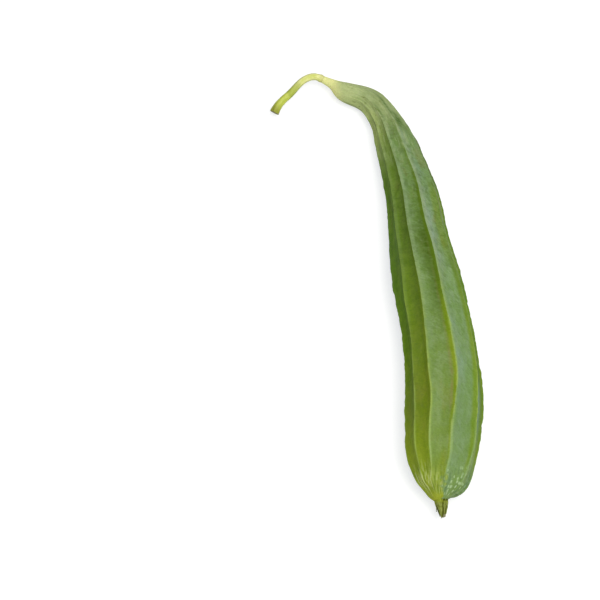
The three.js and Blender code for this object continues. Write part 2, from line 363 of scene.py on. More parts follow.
# ---------------------------------------------------------------- the skin's material
def skin_material():
    m = Nodes("gourd skin")
    co = m.attr("g_co", vector=True)      # the gourd straightened, in centimetres
    t = m.attr("g_t")                     # 0 on a crest, 1 in the middle of a groove
    q = m.attr("g_q")                     # 0 to 1 across a face, from crest to crest
    s = m.attr("g_s")                     # 0 at the neck joint, 1 at the blossom end
    bloom_and_sheen = m.attr("g_bloom_and_sheen")             # how waxy each face is, partly painted sheen: the faces turned to the light get the most
    pit_shade = m.attr("g_pit_shade")                 # painted shade in the hollows of the wrinkles
    fade = m.attr("g_fade")               # how much the ridges show here
    warm = m.attr("g_warm")               # how far the flesh yellows towards the tip
    strip = m.attr("g_strip")             # a waxy strip beside the left crest
    dark = m.attr("g_shade_and_mottle")               # darker stretches: partly painted shade, partly mottling
    light = m.attr("g_light")             # thicker bloom
    bare = m.attr("g_bare")               # the band without bloom, left of a crest on its shaded flank: partly painted shade

    big = m.noise(m.scale(co, (0.55, 0.55, 0.26)), 1.0, 3.0, 0.55)
    mid = m.noise(m.scale(co, (1.7, 1.7, 1.0)), 1.0, 4.0, 0.6)
    cross = m.noise(m.scale(m.skew(co, -0.25), (1.7, 1.7, 3.3)), 1.0, 4.0, 0.62, 0.6)
    hatch = m.noise(m.scale(m.skew(co, -0.75), (2.6, 2.6, 6.0)), 1.0, 3.0, 0.60, 0.25)
    hatch2 = m.noise(m.scale(m.skew(co, -0.25), (5.0, 5.0, 8.5)), 1.0, 2.0, 0.6, 0.3)
    fine = m.noise(m.scale(co, (8.0, 8.0, 12.0)), 1.0, 3.0, 0.6)
    lines = m.noise(m.scale(co, (7.0, 7.0, 0.55)), 1.0, 3.0, 0.6)
    jitter = m.sub(mid, 0.5)

    # faces: olive flesh colour under a grey-green waxy bloom, which is bluer in patches; the bloom and its blue are
    # partly painted sheen, the reflection of the light on the faces turned to it
    green = m.mix(m.ramp(mid, 0.35, 0.7), (0.138, 0.232, 0.018, 1), (0.178, 0.268, 0.032, 1))
    olive = m.mix(m.ramp(mid, 0.35, 0.7), (0.178, 0.240, 0.010, 1), (0.228, 0.278, 0.022, 1))
    olive = m.mix(m.mul(warm, m.ramp(m.add(s, m.mul(m.sub(big, 0.5), 0.3)), 0.50, 0.88)), green, olive)
    waxy = m.mix(m.ramp(mid, 0.35, 0.65), (0.182, 0.295, 0.102, 1), (0.208, 0.312, 0.138, 1))
    blue = m.mul(m.mul(m.ramp(big, 0.44, 0.60), m.ramp(q, 0.75, 0.10, 0.15, 1.0)), m.ramp(s, 0.70, 0.84, 1.0, 0.25))
    waxy = m.mix(m.mul(blue, m.ramp(bloom_and_sheen, 0.45, 0.95)), waxy, (0.232, 0.345, 0.235, 1))
    wax = m.mul(bloom_and_sheen, m.ramp(q, 0.0, 1.0, 1.08, 0.78, "LINEAR"))
    wax = m.add(wax, m.mul(m.mul(jitter, 0.60), m.ramp(bloom_and_sheen, 0.0, 0.3)), clamp=True)
    face = m.mix(wax, olive, waxy)
    stripe = m.mul(m.mul(m.ramp(m.add(q, m.mul(jitter, 0.12)), 0.86, 0.48), m.ramp(q, 0.0, 0.03)), m.mul(strip, m.mul(m.ramp(s, 0.76, 0.82), m.ramp(s, 0.970, 0.935))))
    face = m.mix(m.mul(stripe, 0.85), face, (0.305, 0.412, 0.176, 1))
    face = m.mix(m.mul(light, m.ramp(mid, 0.36, 0.60, 0.35, 0.9)), face, (0.285, 0.370, 0.240, 1))
    brown = m.mul(m.ramp(m.noise(m.scale(co, (1.3, 1.3, 0.6)), 1.0, 3.0, 0.6, 0.3), 0.52, 0.66), m.mul(warm, m.ramp(s, 0.68, 0.84)))
    face = m.mix(m.mul(brown, 0.24), face, (0.265, 0.235, 0.045, 1))
    # cross mottles, stronger towards the neck
    upper = m.ramp(s, 0.78, 0.40, 0.20, 1.0)
    soft = m.noise(m.scale(m.skew(co, -0.2), (1.9, 1.9, 1.3)), 1.0, 3.0, 0.55, 0.4)
    tan = m.noise(m.scale(co, (1.4, 1.4, 0.55)), 1.0, 3.0, 0.6, 0.3)
    face = m.mix(m.mul(m.mul(m.ramp(cross, 0.47, 0.72), upper), 0.26), face, (0.058, 0.110, 0.012, 1))
    face = m.mix(m.mul(m.mul(m.ramp(soft, 0.46, 0.68), upper), 0.42), face, (0.062, 0.112, 0.014, 1))
    face = m.mix(m.mul(m.mul(m.ramp(tan, 0.52, 0.68), m.mul(m.ramp(s, 0.66, 0.45), m.ramp(q, 0.15, 0.5, 0.2, 1.0))), 0.34), face, (0.215, 0.210, 0.060, 1))
    high = m.mix(m.ramp(bloom_and_sheen, 0.0, 0.4), (0.265, 0.340, 0.030, 1), (0.310, 0.410, 0.215, 1))
    face = m.mix(m.mul(m.ramp(cross, 0.44, 0.28), 0.16), face, high)
    # fine hatching of the skin
    weave = m.add(m.mul(hatch, 0.6), m.mul(hatch2, 0.4))
    face = m.mix(m.mul(m.ramp(weave, 0.50, 0.64), m.mul(m.ramp(s, 0.30, 0.45, 0.12, 0.34), m.ramp(s, 0.72, 0.84, 1.0, 0.7))), face, (0.085, 0.150, 0.030, 1))
    face = m.mix(m.mul(m.ramp(weave, 0.49, 0.36, 0.0, 0.30), m.mul(m.ramp(bloom_and_sheen, 0.0, 0.5, 0.3, 1.0), m.mul(m.ramp(s, 0.30, 0.45, 0.67, 1.0), m.ramp(s, 0.60, 0.85, 1.0, 0.34)))), face, high)
    # painted shade: darker in the hollows of the wrinkles
    face = m.mix(m.mul(m.ramp(pit_shade, 0.2, 0.9), 0.05), face, (0.075, 0.135, 0.025, 1))
    face = m.mix(m.ramp(lines, 0.58, 0.80, 0.0, 0.14), face, (0.115, 0.200, 0.030, 1))
    # painted shade and mottling: the darker stretches
    shade = m.mul(dark, m.add(0.55, m.mul(m.ramp(m.add(m.mul(cross, 0.6), m.mul(mid, 0.4)), 0.38, 0.62), 0.45)))
    face = m.mix(shade, face, (0.068, 0.122, 0.010, 1))
    # ridges: bare of bloom on one flank, an olive-yellow band, laid on the shaded flank only and dark green towards the
    # neck, so partly painted shade; paler on the crest itself, and paler just past it on the lit flank, which is partly
    # painted light
    edge = m.add(t, m.mul(jitter, 0.22))
    left = m.ramp(q, 0.45, 0.55)
    reach = m.mul(m.ramp(s, 0.70, 0.88, 0.0, 0.14), m.ramp(bloom_and_sheen, 0.70, 0.92, 1.0, -0.6))
    bare_band_and_shade = m.mul(m.mul(m.ramp(m.add(edge, reach), 0.48, 0.20), left), m.mul(fade, bare))
    low = m.ramp(m.add(s, m.mul(m.sub(big, 0.5), 0.12)), 0.50, 0.78)
    tone = m.mix(m.ramp(mid, 0.4, 0.65), m.mix(warm, (0.150, 0.248, 0.008, 1), (0.185, 0.268, 0.006, 1)), m.mix(warm, (0.185, 0.275, 0.014, 1), (0.245, 0.305, 0.012, 1)))
    # painted shade: towards the neck the band on the shaded flank is dark green
    tone = m.mix(low, (0.105, 0.178, 0.010, 1), tone)
    # the band is darker in the same stretches, partly painted shade
    tone = m.mix(m.mul(dark, m.ramp(s, 0.66, 0.58)), tone, (0.085, 0.150, 0.006, 1))
    col = m.mix(m.mul(bare_band_and_shade, 0.88), face, tone)
    flank = m.add(edge, reach)                                       # rusty line where the bare band meets the face
    rust = m.mul(m.mul(m.ramp(flank, 0.28, 0.42), m.ramp(flank, 0.60, 0.46)), m.mul(left, m.attr("g_rust")))
    col = m.mix(m.mul(rust, m.ramp(tan, 0.40, 0.60, 0.15, 0.45)), col, (0.270, 0.215, 0.070, 1))
    # painted light: paler just right of each crest, on the flank turned to the light
    rim = m.mul(m.mul(m.ramp(m.add(edge, m.ramp(s, 0.50, 0.75, -0.17, 0.04)), 0.30, 0.04), m.sub(1.0, left)), fade)
    col = m.mix(m.mul(m.mul(rim, m.mix(m.ramp(s, 0.50, 0.75), m.ramp(bloom_and_sheen, 0.1, 0.95, 0.20, 1.0), m.ramp(bloom_and_sheen, 0.1, 0.6, 0.30, 1.0))), m.mul(m.ramp(s, 0.45, 0.80, 0.66, 0.58), m.ramp(soft, 0.35, 0.62, 1.0, 0.6))), col, m.mix(m.ramp(s, 0.50, 0.72), (0.310, 0.405, 0.200, 1), (0.275, 0.380, 0.085, 1)))
    line = m.mul(m.ramp(edge, 0.13, 0.02), m.ramp(m.noise(m.scale(co, (1.0, 1.0, 2.0)), 1.0, 3.0, 0.6), 0.32, 0.60))
    col = m.mix(m.mul(m.mul(line, fade), m.ramp(s, 0.50, 0.88, 0.08, 0.80)), col, (0.335, 0.440, 0.090, 1))
    # the lowest face seen is a deeper green, partly painted green bounce light and painted shade; near the tip it is
    # made lighter and yellower, which is painted light
    col = m.mix(m.mul(m.attr("g_low"), m.ramp(s, 0.72, 0.90, 1.0, 0.0)), col, m.mix(1.0, col, (0.76, 0.92, 0.55, 1), "MULTIPLY"))
    # painted light: the lowest face lighter and yellower near the tip
    col = m.mix(m.mul(m.attr("g_low"), m.ramp(s, 0.83, 0.965)), col, m.mix(1.0, col, (1.50, 1.45, 0.78, 1), "MULTIPLY"))
    # painted shade: the left part of the second face darker
    col = m.mix(m.mul(m.attr("g_second_face_shade"), 1.0), col, m.mix(1.0, col, (0.84, 0.87, 0.98, 1), "MULTIPLY"))
    # painted light: a groove wall of the second face lighter and bluer near the tip
    col = m.mix(m.attr("g_lit_flank"), col, m.mix(1.0, col, (1.30, 1.36, 1.45, 1), "MULTIPLY"))
    # the neck is paler and greyer, and turns yellow at its joint
    near = m.add(s, m.mul(m.sub(big, 0.5), 0.10))
    col = m.mix(m.ramp(near, 0.255, 0.125, 0.0, 0.80), col, (0.425, 0.495, 0.220, 1))
    col = m.mix(m.ramp(near, 0.12, 0.045, 0.0, 0.72), col, (0.500, 0.560, 0.245, 1))
    # painted light: paler along the inside of the bend
    col = m.mix(m.mul(m.attr("g_bend_light"), 0.72), col, (0.530, 0.620, 0.190, 1))
    long = m.noise(m.scale(co, (3.0, 3.0, 0.42)), 1.0, 3.0, 0.55, 0.3)
    neck = m.mul(m.ramp(near, 0.04, 0.10), m.ramp(near, 0.36, 0.20))
    col = m.mix(m.mul(m.ramp(long, 0.49, 0.66), m.mul(neck, 0.46)), col, (0.190, 0.262, 0.085, 1))
    col = m.mix(m.mul(m.ramp(long, 0.48, 0.36), m.mul(neck, 0.30)), col, (0.430, 0.510, 0.250, 1))
    col = m.mix(m.mul(m.ramp(lines, 0.52, 0.66), m.mul(neck, 0.28)), col, (0.170, 0.228, 0.068, 1))
    col = m.mix(m.mul(m.ramp(lines, 0.49, 0.36), m.mul(neck, 0.38)), col, (0.450, 0.525, 0.260, 1))
    # mostly painted shade: darker green patches over the shoulder
    over = m.mul(m.attr("g_shoulder_shade"), m.ramp(m.add(m.mul(long, 0.5), m.mul(cross, 0.5)), 0.36, 0.58, 0.62, 1.0))
    col = m.mix(over, col, (0.092, 0.163, 0.036, 1))
    spot = m.mul(m.ramp(m.noise(m.scale(co, (5.5, 5.5, 1.3)), 1.0, 3.0, 0.55), 0.58, 0.68), m.mul(m.ramp(near, 0.03, 0.07), m.ramp(near, 0.26, 0.18)))
    col = m.mix(m.mul(spot, 0.55), col, (0.150, 0.200, 0.035, 1))
    side = m.new("ShaderNodeSeparateXYZ")
    m.put(side.inputs[0], co)
    joint = m.add(m.add(s, m.mul(jitter, 0.022)), m.mul(side.outputs[0], 0.017))
    col = m.mix(m.ramp(joint, 0.050, 0.020), col, (0.800, 0.800, 0.330, 1))
    # the blossom end: yellower, with pale streaks running to the tip
    col = m.mix(m.mul(m.ramp(s, 0.84, 0.975), m.ramp(bloom_and_sheen, 0.7, 0.2, 0.12, 0.55)), col, (0.245, 0.320, 0.018, 1))
    col = m.mix(m.mul(m.mul(m.ramp(edge, 0.20, 0.04), m.mul(m.ramp(s, 0.85, 0.92), m.ramp(s, 0.985, 0.955))), 0.62), col, m.mix(m.ramp(bloom_and_sheen, 0.3, 0.8), (0.325, 0.425, 0.090, 1), (0.290, 0.420, 0.190, 1)))
    tip = m.attr("g_tip", vector=True)
    pale = m.mix(m.ramp(bloom_and_sheen, 0.4, 0.8), (0.405, 0.485, 0.145, 1), (0.460, 0.620, 0.320, 1))
    cells = m.scale(m.attr("g_end", vector=True), (4.8, 3.5, 1.0))
    pick = m.math("ADD", m.voronoi(cells, flat=True, out="Color"), 0.0)
    dash = m.mul(m.ramp(m.voronoi(cells, flat=True), 0.42, 0.26), m.ramp(pick, 0.40, 0.52))
    dash = m.mul(dash, m.mul(m.ramp(m.add(s, m.mul(jitter, 0.05)), 0.941, 0.962), m.mul(m.attr("g_dash"), m.ramp(bloom_and_sheen, 0.45, 0.85, 0.15, 1.0))))
    ray = m.noise(m.scale(tip, (12.0, 12.0, 3.0)), 1.0, 1.5, 0.60)
    ray2 = m.mul(m.ramp(ray, 0.50, 0.60), m.ramp(m.add(m.add(s, m.mul(jitter, 0.03)), m.mul(bloom_and_sheen, -0.04)), 0.932, 0.966))
    col = m.mix(m.mul(ray2, m.ramp(bloom_and_sheen, 0.0, 0.7, 0.72, 0.10)), col, pale)
    col = m.mix(m.mul(m.ramp(ray, 0.48, 0.39), m.mul(m.ramp(s, 0.92, 0.975, 0.0, 0.74), m.ramp(bloom_and_sheen, 0.0, 0.9, 1.0, 0.8))), col, m.mix(m.ramp(bloom_and_sheen, 0.4, 0.8), (0.120, 0.185, 0.016, 1), (0.100, 0.185, 0.075, 1)))
    col = m.mix(m.mul(dash, m.ramp(s, 0.955, 0.985, 0.50, 0.74)), col, pale)
    col = m.mix(m.mul(m.ramp(m.add(s, m.mul(jitter, 0.01)), 0.988, 0.997, 0.0, 0.85), m.ramp(bloom_and_sheen, 0.75, 0.5, 0.10, 1.0)), col, (0.300, 0.350, 0.024, 1))
    full = m.mul(m.sub(1.0, warm), m.mul(m.ramp(s, 0.79, 0.87), m.ramp(s, 0.985, 0.95)))
    col = m.mix(m.mul(full, 0.17), col, (0.070, 0.125, 0.020, 1))
    # painted light: the lower left side of the blossom end lighter and bluer
    col = m.mix(m.attr("g_tip_light"), col, m.mix(1.0, col, (1.36, 1.28, 1.75, 1), "MULTIPLY"))
    # painted shade: the fifth face darker and bluer towards its far edge
    col = m.mix(m.attr("g_far_side_shade"), col, m.mix(1.0, col, (0.78, 0.86, 1.30, 1), "MULTIPLY"))
    col = m.mix(m.attr("g_rim"), col, m.mix(1.0, col, (1.40, 1.38, 1.40, 1), "MULTIPLY"))
    col = m.mix(m.attr("g_fringe"), col, m.mix(1.0, col, (0.90, 0.88, 0.42, 1), "MULTIPLY"))
    # fine grain
    col = m.mix(1.0, col, m.mix(m.ramp(fine, 0.3, 0.7), (0.92, 0.92, 0.92, 1), (1.07, 1.07, 1.07, 1)), "MULTIPLY")

    rough = m.ramp(m.add(wax, m.mul(fine, 0.3)), 0.2, 1.2, 0.50, 0.66)
    h = m.add(m.mul(weave, 1.0), m.mul(m.noise(m.scale(co, (26.0, 26.0, 30.0)), 1.0, 2.0, 0.5), 0.25))
    h = m.add(h, m.mul(dash, 0.5))
    m.set(Base_Color=col, Roughness=rough, Normal=m.bump(h, 0.00032, 0.9))
    m.bsdf.inputs["Specular IOR Level"].default_value = 0.025
    m.bsdf.inputs["Subsurface Weight"].default_value = 0.05
    m.bsdf.inputs["Subsurface Radius"].default_value = (0.5, 1.0, 0.2)
    m.bsdf.inputs["Subsurface Scale"].default_value = 0.002
    return m.mat


# ---------------------------------------------------------------- the fruit
def body():
    path = Path(BODY)
    # closer sections over the blossom end and the neck joint
    tip = path.length - 30
    s = np.concatenate([np.linspace(0, 14, 22, endpoint=False), np.linspace(14, tip, 388, endpoint=False), np.linspace(tip, path.length, 57)])
    q = path.at(s)
    d, out, up = path.frames(s, NECK_DIRECTION, TIP_DIRECTION)
    share = s / path.length
    # each ridge wanders in its own way
    STRAY = {1: 0.6, 2: 0.7, 3: 1.0, 4: 0.9}
    crests = []
    for k, a in enumerate(RIDGES):
        if k in WANDER:
            w = STRAY[k] * spline(*zip(*WANDER[k]))(share)
        else:
            w = 2.0 * noise(share * 6.5 + 3.1 * k, k * 7.7, 0.5, 81) * smooth(share, 0.03, 0.2)
        if k == 0:                                                 # it comes up to the side of the fruit
            w = w * (1 - smooth(share, 0.60, 0.75)) + 6.0 * smooth(share, 0.60, 0.75)
        crests.append(a + w + 0.55 * noise(share * 42, k * 5.3, 0.5, 82) * smooth(share, 0.08, 0.25))
    crests.append(crests[0] + 360)
    steps = np.array([0.0, 0.035, 0.08, 0.14, 0.21, 0.30, 0.41, 0.54, 0.69, 0.84])
    A, tt, qq, gid = [], [], [], []
    for k in range(len(RIDGES)):
        a, b = crests[k], crests[k + 1]
        for u in steps:
            A.append(a + u * (b - a) / 2); tt.append(u); qq.append(u / 2); gid.append(k)
        for u in [1.0, *steps[:0:-1]]:
            A.append(b - u * (b - a) / 2); tt.append(u); qq.append(1 - u / 2); gid.append(k)
    A = np.radians(np.array(A).T)
    S = np.broadcast_to(s[:, None], A.shape)
    T, Q, G = (np.broadcast_to(np.array(v), A.shape) for v in (tt, qq, gid))
    R = np.broadcast_to(q[:, 3:4], A.shape)
    D = np.broadcast_to(np.maximum(q[:, 4:5], 0), A.shape)
    X, Y, Z = R * np.sin(A), R * np.cos(A), S                      # the gourd straightened
    rel = R / 26.0
    grow = smooth(S, 18, 95)                                      # ridges come up along the neck
    end = smooth(path.length - S, 3, 45)                           # and fade at the blossom end
    # groove profile: sharp crest, hollow face
    te = np.sqrt(T * T + 0.035**2) - 0.035
    g = 1 - (1 - np.clip(te, 0, 1)) ** 2.2
    depth = 1.02 * D + 0.034 * smooth(S, 16, 34) * smooth(S, 100, 50)
    r = R * (1 - depth * g + 0.08 * D)
    # crests: uneven, slightly toothed
    crest = np.exp(-((T / 0.17) ** 2))
    teeth = 0.30 * noise(S / 7.5, X / 14, Y / 14, 3) + 0.23 * noise(S / 3.1, X / 9, Y / 9, 4) + 0.14 * noise(S / 1.7, X / 9, Y / 9, 5)
    r = r + crest * teeth * rel * (0.35 + 0.65 * grow) * (0.4 + 0.6 * end)
    # faces: slow swells, cross wrinkles and fine hatching
    swell = 0.28 * noise(X / 24, Y / 24, Z / 42, 11) + 0.16 * noise(X / 10, Y / 10, Z / 17, 12)
    wr = noise(X / 6 + 0.45 * Z / 6, Y / 6, Z / 2.4, 21) + 0.6 * noise(X / 4, Y / 4 - 0.4 * Z / 4, Z / 1.5, 22)
    off = 1 - np.exp(-((T / 0.25) ** 2))
    r = r + (swell * rel + (0.025 + 0.025 * smooth(S / path.length, 0.45, 0.65)) * wr * off * (0.35 + 0.65 * grow)) * end
    # the neck: soft lengthwise ribs
    rib = 0.16 * np.cos(3 * (A - math.radians(20)) + S / 60) + 0.14 * noise(X / 3.2, Y / 3.2, Z / 26, 31)
    r = r + (1 - grow) * smooth(S, 6, 25) * rib
    # the blossom end: fine lengthwise puckers towards the tip
    pucker = smooth(path.length - S, 34, 6) * smooth(path.length - S, 0.2, 5)
    r = r + pucker * (0.30 * noise(6.0 * np.cos(A), 6.0 * np.sin(A), Z / 22, 41) + 0.20 * noise(15 * np.cos(A), 15 * np.sin(A), Z / 9, 42))
    # it slopes into the flower on one side and is fuller on the other
    rest = path.length - S
    for mid, wide, knots in [(-85, 50, [(0, 0.2), (1, -0.3), (2, -0.65), (4, -0.5), (6.5, -0.1), (9.8, 0.2), (14, 0.5), (19, 0.8), (24, 0.9), (30, 0.6), (38, 0.5), (50, 0)]),
                             (80, 42, [(0, 0.9), (1, 1.3), (2, 1.3), (4, 0.8), (6, 0.4), (9, 0)])]:
        turn = (np.degrees(A) - mid + 180) % 360 - 180
        r = r + np.interp(rest, *zip(*knots)) * np.exp(-((turn / wide) ** 2))
    turn = (np.degrees(A) - 82 + 180) % 360 - 180                   # a little fuller on the outside of the bend
    r = r + 0.60 * np.exp(-((turn / 30) ** 2)) * np.exp(-(((share - 0.245) / 0.04)[:, None] ** 2))
    pts = q[:, None, :3] + r[..., None] * (np.cos(A)[..., None] * up[:, None] + np.sin(A)[..., None] * out[:, None])
    # weight presses the lowest ridges flat on the floor
    pts[..., 2] = np.maximum(pts[..., 2], 0.04)
    P, faces = skin_rings(pts)
    extra = len(P) - S.size
    flat = lambda a, fill=0.0: np.r_[np.broadcast_to(a, S.shape).ravel(), np.full(extra, fill)]
    co = np.vstack([np.stack([X, Y, Z], -1).reshape(-1, 3) / 10, [[0, 0, 0], [0, 0, path.length / 10]]])
    # directions round the blossom end, for rays running to the tip
    near = path.length - S
    tipco = np.stack([np.cos(A), np.sin(A), near / 30], -1)
    tipco = np.vstack([tipco.reshape(-1, 3), [[0, 0, 9], [0, 0, 0]]])
    # the same skin laid flat, in centimetres, for the short pale dashes there
    endco = np.vstack([np.stack([A * 2.0, near / 10, 0 * A], -1).reshape(-1, 3), [[0, 40, 0], [0, 0, 0]]])
    share2 = S / path.length
    # how waxy each face is, partly painted sheen: the faces turned to the light get the most
    bloom_and_sheen = np.array([0.0, 0.0, 0.58, 0.95, 0.10, 0.45, 0.30, 0.50, 0.25, 0.10])[G]
    early = 1 - smooth(share2, 0.42, 0.60)                                          # nearer the neck most faces keep some bloom
    bloom_and_sheen = np.where((G == 4) | (G == 5) | (G == 6), np.maximum(bloom_and_sheen, 0.80 * smooth(share2 + 0.018 * noise(X / 9, Y / 9, Z / 12, 91), 0.905, 0.965)), bloom_and_sheen)     # wax spreads round the end
    off3 = np.degrees(A) - crests[3][:, None]                                        # right at the end it thins left of the fourth crest, with a ragged border
    thin = np.where((G == 2) | (G == 3), smooth(share2 + 0.012 * noise(X / 6, Y / 6, Z / 12, 92), 0.925, 0.965), 0.0)
    wide = smooth(share2, 0.930, 0.975)
    ragged = 0.24 + 0.71 * smooth((off3 + (5.0 + 9.0 * wide) * noise(X / 2.2, Y / 2.2, Z / 5.0, 93)) / (1 + 1.6 * wide), -4, 5)
    bloom_and_sheen = bloom_and_sheen * (1 - thin) + ragged * thin
    bloom_and_sheen = bloom_and_sheen + early * np.array([0.04, 0.14, 0.06, 0.0, 0.55, 0.1, 0.1, 0.1, 0.1, 0.1])[G]
    # the bare band left of each crest, on the shaded flank and so partly painted shade: where it shows along the fruit
    # (first and last share of its rise, strength)
    b0, b1, bk = (np.array(v)[(G + 1) % 10] for v in ([.5, .55, .20, .16, .46, .15, .5, .3, .5, .4], [.7, .7, .35, .47, .62, .28, .7, .5, .7, .6],
                                                       [.7, .6, .70, 1.0, .9, 1.0, .7, .9, .7, .6]))
    bare = bk * smooth((share2 - b0) / (b1 - b0))
    warm = np.array([0.60, 0.78, 0.75, 0.0, 0.4, 0.3, 0.6, 0.2, 0.5, 1.0])[G]       # flesh that yellows towards the tip
    strip = np.array([0.0, 0.0, 0.0, 0.0, 1.0, 0.0, 0.3, 0.0, 0.5, 0.0])[G]      # a waxy strip beside the left crest
    deg = np.degrees(A)
    # darker stretches, partly painted shade (a shadow over the left faces, shade by the right outline and in a hollow
    # of the third face) and partly darker mottling: angle, share of the length, half width, half length, strength
    dark = np.zeros(S.shape)
    for a0, s0, wa, ws, k in [(4, 0.565, 11, 0.125, 0.85), (-6, 0.47, 13, 0.10, 0.35), (-36, 0.55, 15, 0.15, 0.50), (-42, 0.37, 16, 0.10, 0.22),
                              (36, 0.36, 8, 0.08, 0.08), (86, 0.36, 11, 0.27, 0.80), (104, 0.55, 16, 0.2, 0.5), (181, 0.45, 16, 0.2, 0.4), (216, 0.62, 14, 0.16, 0.5)]:
        ad = (deg - a0 + 180) % 360 - 180
        dark = dark + k * np.exp(-((ad / wa) ** 2) - (((share2 - s0) / ws) ** 4))
    dark = np.where((G == 3) & (deg < 30), dark * 0.2, dark)
    shoulder_shade = np.zeros(S.shape)                                    # darker patches over the shoulder, in the same columns: mostly painted shade, a crossing stalk's shadow and shade in the grooves
    for a0, s0, wa, ws, k in [(26, 0.195, 14, 0.032, 1.15), (14, 0.157, 8.5, 0.036, 1.05), (-21, 0.165, 4.5, 0.035, 0.66), (19, 0.138, 3.6, 0.042, 0.85), (-46, 0.104, 4, 0.028, 0.40), (36, 0.155, 9, 0.03, 0.32), (52, 0.205, 10, 0.04, 0.20),
                              (-62, 0.165, 9, 0.05, 0.25), (150, 0.19, 20, 0.05, 0.6), (215, 0.18, 18, 0.05, 0.6)]:
        ad = (deg - a0 + 180) % 360 - 180
        shoulder_shade = np.maximum(shoulder_shade, k * np.exp(-((ad / wa) ** 2) - (((share2 - s0) / ws) ** 2)))
    light = 0.85 * np.exp(-(((deg - 11) / 8) ** 2) - (((share2 - 0.32) / 0.12) ** 4)) + 0.85 * np.exp(-(((deg - 18) / 9) ** 2) - (((share2 - 0.50) / 0.11) ** 4)) + 0.4 * np.exp(-(((deg - 20) / 8) ** 2) - (((share2 - 0.73) / 0.05) ** 2))
    light = np.where(G == 3, light, 0.0) + np.where(G == 2, 0.06 * np.exp(-(((deg + 20) / 8) ** 2) - (((share2 - 0.50) / 0.20) ** 4)), 0.0)
    turn = (deg + 78 + 180) % 360 - 180                             # painted light: paler along the inside of the bend, where the face turns from the light
    bend_light = np.exp(-((turn / 34) ** 2) - (((share2 - 0.18) / 0.085) ** 2))
    turn = (deg - 24 + 180) % 360 - 180                             # pale dashes, mostly on the upper side
    dash = 0.35 + 0.65 * np.exp(-((turn / 44) ** 4))
    # painted shade: the left part of the second face darker, low on the fruit and near the shoulder
    second_face_shade = np.where(G == 1, smooth(Q, 0.62, 0.30) * smooth(share2, 0.62, 0.72) * (1 - smooth(share2, 0.86, 0.92)), 0.0)
    second_face_shade = second_face_shade + np.where((G == 1) & (Q < 0.7), 1.0 * smooth(Q, 0.6, 0.25) * np.exp(-(((share2 - 0.265) / 0.045) ** 2)), 0.0)
    # painted light: the lower left side of the blossom end lighter and bluer
    tip_light = np.interp((deg + 180) % 360 - 180, [-170, -120, -45, -5, 10], [0.0, 1.0, 1.0, 0.45, 0.0]) * smooth(share2, 0.950, 0.976) * (1 - 0.45 * smooth(share2, 0.984, 0.994))
    # painted shade: the fifth face darker and bluer towards its far edge
    side = np.where(G == 4, smooth(Q, 0.22, 0.50) * smooth(share2, 0.52, 0.62) * (1 - 0.6 * smooth(share2, 0.86, 0.93)), 0.0)
    fringe = np.where(G == 3, smooth(Q, 0.60, 0.74), 0.0) + np.where(G == 4, smooth(Q, 0.34, 0.12), 0.0)    # yellower along the fourth crest
    fringe = fringe * smooth(share2, 0.34, 0.40) * (1 - smooth(share2, 0.50, 0.58)) * 0.8
    rim = np.where(G == 4, smooth(Q, 0.42, 0.72) * smooth(share2, 0.33, 0.39) * (1 - smooth(share2, 0.62, 0.72)), 0.0)
    # painted light: the right part of the second face, a groove wall turned from the light, lighter and bluer near the
    # tip
    flank = np.where(G == 1, smooth(Q, 0.55, 0.80) * smooth(share2, 0.83, 0.91) * (1 - smooth(share2, 0.965, 0.985)), 0.0)
    rust = np.where(G == 2, 0.35 * smooth(share2, 0.50, 0.54) + 0.65 * smooth(share2, 0.68, 0.73), 0.0) * (1 - smooth(share2, 0.82, 0.88))
    fade = smooth(S, 10, 70) * np.where((deg > -12) & (deg < 130), smooth(near, 6, 30), smooth(near, 0, 14))
    return make("gourd_skin", P, faces, skin_material(),
                {"g_t": flat(T, 1.0), "g_q": flat(Q, 0.5), "g_s": flat(S / path.length), "g_bloom_and_sheen": flat(bloom_and_sheen),
                 "g_pit_shade": flat(np.clip(-wr, 0, 1) * off * end), "g_fade": flat(fade), "g_warm": flat(warm), "g_strip": flat(strip),
                 "g_shade_and_mottle": flat(dark), "g_shoulder_shade": flat(shoulder_shade), "g_bend_light": flat(bend_light), "g_low": flat(((G == 0) | (G == 9)).astype(float)), "g_light": flat(light), "g_bare": flat(bare), "g_rust": flat(rust), "g_second_face_shade": flat(second_face_shade), "g_tip_light": flat(tip_light), "g_far_side_shade": flat(side), "g_rim": flat(rim), "g_fringe": flat(fringe), "g_lit_flank": flat(flank), "g_dash": flat(dash)},
                {"g_co": co, "g_tip": tipco, "g_end": endco}, replaces=["gourd_body"])


